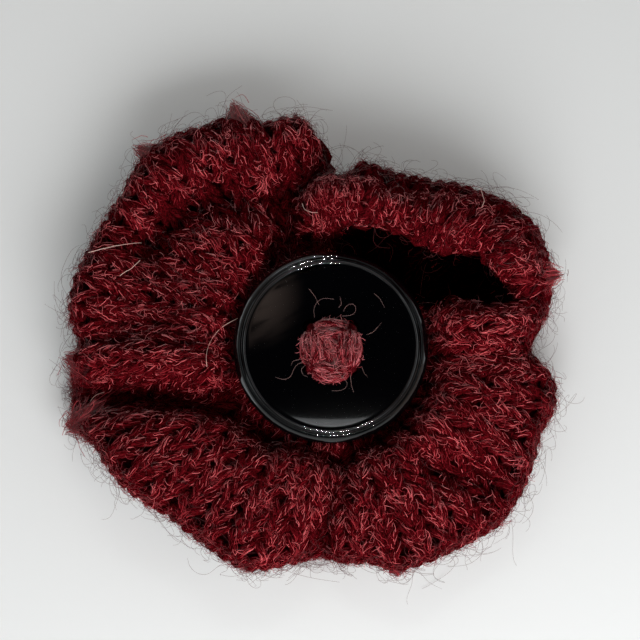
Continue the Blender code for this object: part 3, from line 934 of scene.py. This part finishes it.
# Section as (radius, height) in millimetres, from the flat back round the bulged side, over
# the outer rim, the groove and the raised ring, and down into the dish.
section = [(14.0, 0.0)]
section += arc_points((14.4, 2.6), 2.6, -80, -12, 9)
section += arc_points((16.34, 3.76), 0.6, -8, 40, 8)
section += arc_points((15.375, 2.95), 1.86, 42, 72, 9)
section += arc_points((15.888, 4.53), 0.2, 80, 150, 6)
section += [(15.69, 4.50), (15.65, 4.43), (15.61, 4.45)]
section += arc_points((15.28, 4.50), 0.34, 15, 145, 14)
section += [(14.94, 4.60), (14.88, 4.52), (14.82, 4.48), (14.76, 4.50), (14.68, 4.53)]
section += [(r, DISH_LOW + r * r / (2.0 * DISH_CURVE)) for r in np.linspace(14.58, 0.5, 32)]
rings = np.array(section) * MM
turn = np.arange(BUTTON_STEPS) * 2.0 * math.pi / BUTTON_STEPS
points = np.stack([rings[:, 0, None] * np.cos(turn), rings[:, 0, None] * np.sin(turn),
                   np.broadcast_to(rings[:, 1, None], (len(rings), BUTTON_STEPS))], axis=-1)
points = points.reshape(-1, 3) + (hub[0], hub[1], button_low.z)
base_cap = np.arange(BUTTON_STEPS)[None, ::-1]
dish_cap = np.arange(BUTTON_STEPS)[None] + (len(rings) - 1) * BUTTON_STEPS
button_body = quad_table(len(rings), BUTTON_STEPS, wrap_columns=True)[:, ::-1]

BLACK = (0.0006, 0.0006, 0.0009)
black, tree, shader = principled("button_plastic", BLACK, 0.05)
shader.inputs["Specular IOR Level"].default_value = 0.5
links = tree.links
rub = add_node(tree, "ShaderNodeTexNoise", {"Scale": 240.0, "Detail": 5.0})
worn = add_node(tree, "ShaderNodeMapRange", {
    "From Min": 0.35, "From Max": 0.75, "To Min": 0.03, "To Max": 0.09})
links.new(rub.outputs["Fac"], worn.inputs["Value"])
links.new(worn.outputs["Result"], shader.inputs["Roughness"])
specks = add_node(tree, "ShaderNodeTexVoronoi", {"Scale": 330.0})
near_speck = add_node(tree, "ShaderNodeMapRange", {
    "From Min": 0.035, "From Max": 0.060, "To Min": 1.0, "To Max": 0.0})
links.new(specks.outputs["Distance"], near_speck.inputs["Value"])
few = add_node(tree, "ShaderNodeSeparateColor")
links.new(specks.outputs["Color"], few.inputs["Color"])
kept = add_node(tree, "ShaderNodeMath", {1: 0.80}, operation="GREATER_THAN")
links.new(few.outputs["Red"], kept.inputs[0])
dust = add_node(tree, "ShaderNodeMath", operation="MULTIPLY")
links.new(near_speck.outputs["Result"], dust.inputs[0])
links.new(kept.outputs["Value"], dust.inputs[1])
dusted = add_node(tree, "ShaderNodeMix", {
    "A": (*BLACK, 1.0), "B": (0.62, 0.60, 0.58, 1.0)}, data_type="RGBA")
links.new(dust.outputs["Value"], dusted.inputs["Factor"])
links.new(dusted.outputs["Result"], shader.inputs["Base Color"])

button = add_mesh("coat_button", points, [button_body, base_cap, dish_cap], black)
drills = []
for x in (-0.5, 0.5):
    for y in (-0.5, 0.5):
        shape = bmesh.new()
        bmesh.ops.create_cone(shape, cap_ends=True, segments=32, radius1=HOLE_RADIUS,
                              radius2=HOLE_RADIUS, depth=12.0 * MM)
        drill = bpy.data.objects.new("drill", bpy.data.meshes.new("drill"))
        shape.to_mesh(drill.data)
        shape.free()
        scene.collection.objects.link(drill)
        drill.location = (hub[0] + x * HOLE_SPACING, hub[1] + y * HOLE_SPACING,
                          button_low.z + 2.0 * MM)
        cut = button.modifiers.new("hole", "BOOLEAN")
        cut.operation = "DIFFERENCE"
        cut.solver = "EXACT"
        cut.object = drill
        drills.append(drill)
bpy.context.view_layer.update()
finished = bpy.data.meshes.new_from_object(
    button.evaluated_get(bpy.context.evaluated_depsgraph_get()))
button.modifiers.clear()
button.data = finished
for drill in drills:
    bpy.data.objects.remove(drill)
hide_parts("button")
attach(button, root)

# Sewing wool: one strand of brighter red wool, taken several times over the four sides of
# the square of holes and across it, down through the flower, and fastened behind.
SEWING_RADIUS = 0.92 * MM
dish = button_low.z + DISH_LOW * MM
FRONT_STITCHES = (
    # from and to in half hole spacings, sideways bulge, middle and end height, millimetres
    ((-0.9, -0.9), (0.9, 0.7), 0.6, 1.1, 0.5), ((-0.9, 0.8), (0.9, -0.9), -0.5, 1.2, 0.5),
    ((-0.9, 0.1), (0.9, -0.4), 0.4, 1.2, 0.7), ((-0.5, 0.9), (0.1, -0.9), 0.4, 1.3, 0.7),
    ((0.8, 0.85), (-0.8, 0.85), 1.1, 0.9, 0.4), ((0.85, 0.7), (-0.85, 0.7), -0.3, 1.5, 0.7),
    ((-0.8, -1.1), (0.8, -1.1), 1.5, 0.8, 0.4), ((-0.85, -1.0), (0.8, -1.15), 0.0, 1.4, 0.7),
    ((-0.95, 0.7), (-0.95, -0.8), 1.1, 1.0, 0.4), ((-0.9, 0.8), (-0.8, -0.9), -0.5, 1.7, 0.7),
    ((0.45, -1.0), (0.5, 0.8), 0.2, 1.8, 0.8), ((0.98, -0.9), (0.98, 0.7), 1.1, 1.0, 0.4),
    ((0.9, -1.0), (0.95, 0.75), 0.1, 2.0, 0.8),
)
STITCH_STEPS = 24


def stitch_path(first, last, bulge, middle, end, level, side, dip):
    """One stitch lying on a level: side is 1 on the front and -1 behind."""
    half = HOLE_SPACING / 2.0
    start = np.array((*first, 0.0)) * half
    stop = np.array((*last, 0.0)) * half
    across = np.cross(stop - start, (0.0, 0.0, 1.0))
    across /= np.linalg.norm(across)
    share = np.linspace(-0.12, 1.12, STITCH_STEPS)
    inside = np.clip(share, 0.0, 1.0)
    crown = np.sin(inside * math.pi) ** 0.55
    path = start + (stop - start) * inside[:, None] + across * (bulge * MM * crown)[:, None]
    path[:, 2] = level + side * (end + (middle - end) * crown) * MM
    path[:, 2] -= side * np.abs(share - inside) / 0.12 * dip
    return path + hub


def outward_of(path, side):
    """Unit directions away from the middle of the pad of stitches."""
    normal = np.zeros_like(path)
    normal[:, 2] = side
    normal[:, :2] = (path[:, :2] - hub[:2]) / (5.2 * MM)
    return normal / np.linalg.norm(normal, axis=1, keepdims=True)


front_paths = [stitch_path(*stitch, dish, 1.0, 2.2 * MM) for stitch in FRONT_STITCHES]
BACK_STITCHES = (
    ((-1, -1), (1, 1), 0.3, -0.1, 0.0), ((-1, 1), (1, -1), -0.3, -0.1, 0.0),
    ((-1, -1), (-1, 1), -0.9, 0.0, 0.0), ((-1, -1), (-1, 1), 0.7, 0.3, 0.0),
    ((1, -1), (1, 1), 0.9, 0.0, 0.0), ((1, -1), (1, 1), -0.7, 0.3, 0.0),
    ((-1, -1), (1, -1), 0.9, 0.1, 0.0), ((-1, 1), (1, 1), -0.9, 0.1, 0.0),
)
back_paths = [stitch_path(*stitch, 1.45 * MM, -1.0, 1.0 * MM) for stitch in BACK_STITCHES]
leg_share = np.linspace(0.0, 1.0, STITCH_STEPS)
leg_paths = []
for x in (-0.5, 0.5):
    for y in (-0.5, 0.5):
        leg = np.zeros((STITCH_STEPS, 3))
        leg[:, 0] = hub[0] + x * HOLE_SPACING + 0.15 * MM * np.sin(leg_share * 9.0)
        leg[:, 1] = hub[1] + y * HOLE_SPACING + 0.15 * MM * np.cos(leg_share * 9.0)
        leg[:, 2] = 1.6 * MM + (dish + 0.2 * MM - 1.6 * MM) * leg_share
        leg_paths.append(leg)
sewing_wool = wool_material("sewing_yarn", (0.006, 0.0003, 0.0006), (0.20, 0.012, 0.018))
for name, paths in (("sewing_stitches", front_paths), ("sewing_legs", leg_paths),
                    ("sewing_stitches_behind", back_paths)):
    piece = add_strands(name, np.array(paths), SEWING_RADIUS, 12, sewing_wool,
                        plies=PLY_COUNT, pitch=PLY_PITCH)
    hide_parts("sewing_wool")

front_table = root_table([(path[3:-3], outward_of(path, 1.0)[3:-3], path[3:-3, 2])
                          for path in front_paths])
back_table = root_table([(path[3:-3], outward_of(path, -1.0)[3:-3], path[3:-3, 2])
                         for path in back_paths])
every_root = np.arange(len(front_table[0]))
SEWING_HAIRS = (
    # name, colour, combed and loose hairs
    ("stitch_hairs_deep", (0.08, 0.003, 0.005), 420, 90),
    ("stitch_hairs_red", (0.38, 0.030, 0.042), 560, 190),
    ("stitch_hairs_light", (0.70, 0.18, 0.20), 300, 150),
)
for name, color, combed, loose in SEWING_HAIRS:
    shade = hair_material(name, color)
    chosen = random.choice(every_root, combed)
    paths = combed_hairs(front_table, chosen, length=(0.8, 2.0), splay=0.3, lift=(0.0, 0.08),
                         steps=6, radius=SEWING_RADIUS)
    add_strands(name, paths, 0.055 * MM, HAIR_SIDES, shade, taper=0.4)
    chosen = random.choice(every_root, loose)
    paths = loose_hairs(front_table, chosen, length=(0.8, 2.2), curl=2.0, rise=(0.0, 0.2),
                        lean=1.0, steps=9, radius=SEWING_RADIUS)
    add_strands(name + "_loose", paths, 0.045 * MM, HAIR_SIDES, shade,
                                    taper=0.4)
chosen = random.choice(len(back_table[0]), 500)
paths = loose_hairs(back_table, chosen, length=(0.8, 2.4), curl=1.6, rise=(0.0, 0.1), lean=1.0,
                    steps=7, radius=SEWING_RADIUS)
shade = hair_material("stitch_hairs_behind", (0.36, 0.030, 0.042))
add_strands("stitch_hairs_behind", paths, 0.055 * MM, HAIR_SIDES, shade,
                                taper=0.4)

# Stray fibres on the button: the frayed tail of the sewing wool and its longest curls, which
# have sprung out of the stitches and lie in the dish.
CURLS = (
    # points in millimetres from the middle of the button
    ((0.5, -2.4, 3.4), (0.8, -4.4, 3.2), (2.0, -5.5, 1.6), (3.0, -6.2, 0.9), (2.8, -7.2, 0.8),
     (1.6, -7.8, 0.9), (0.2, -7.7, 1.0)),
    ((3.3, -4.9, 2.0), (3.5, -5.9, 1.0), (3.6, -7.0, 0.9), (4.0, -8.0, 1.0)),
    ((-4.6, -2.8, 2.0), (-6.0, -3.1, 1.0), (-6.5, -4.0, 0.7), (-6.8, -5.2, 0.8),
     (-8.0, -5.9, 1.0), (-9.6, -5.4, 1.3)),
    ((-4.6, -2.2, 2.0), (-5.6, -2.3, 1.2), (-6.6, -2.4, 0.7), (-6.9, -3.2, 0.6)),
    ((-4.4, -3.4, 1.8), (-5.2, -3.9, 0.8), (-4.8, -4.9, 0.5), (-4.0, -5.2, 0.5)),
    ((-2.8, 5.0, 2.0), (-3.0, 6.6, 1.0), (-2.6, 7.8, 1.1), (-1.4, 8.7, 1.3), (0.6, 8.4, 1.4)),
    ((-3.8, 10.2, 1.8), (-2.8, 9.0, 1.5), (-2.0, 7.4, 1.2)),
    ((1.4, 7.0, 1.1), (1.9, 7.6, 1.1), (1.6, 8.9, 1.3)),
    ((2.0, 5.4, 1.4), (3.8, 5.6, 0.9), (4.6, 6.6, 1.0), (4.0, 7.8, 1.3), (2.7, 7.4, 1.1),
     (2.2, 6.4, 0.9)),
    ((7.6, 9.3, 2.0), (8.6, 8.4, 1.9), (9.4, 6.8, 1.8)),
    ((6.2, 2.2, 0.9), (7.4, 2.6, 1.0), (8.8, 4.2, 1.4)),
    ((5.4, -3.6, 1.2), (5.8, -4.6, 0.9), (6.4, -5.3, 1.0)),
)
paths = np.array([smooth_path(corners, CURL_STEPS) for corners in CURLS]) * MM
paths += (hub[0], hub[1], dish)
pale_wool = hair_material("pale_curls", (0.40, 0.24, 0.23))
add_strands("curls_on_button", paths, 0.017 * MM, 5, pale_wool, taper=0.3)
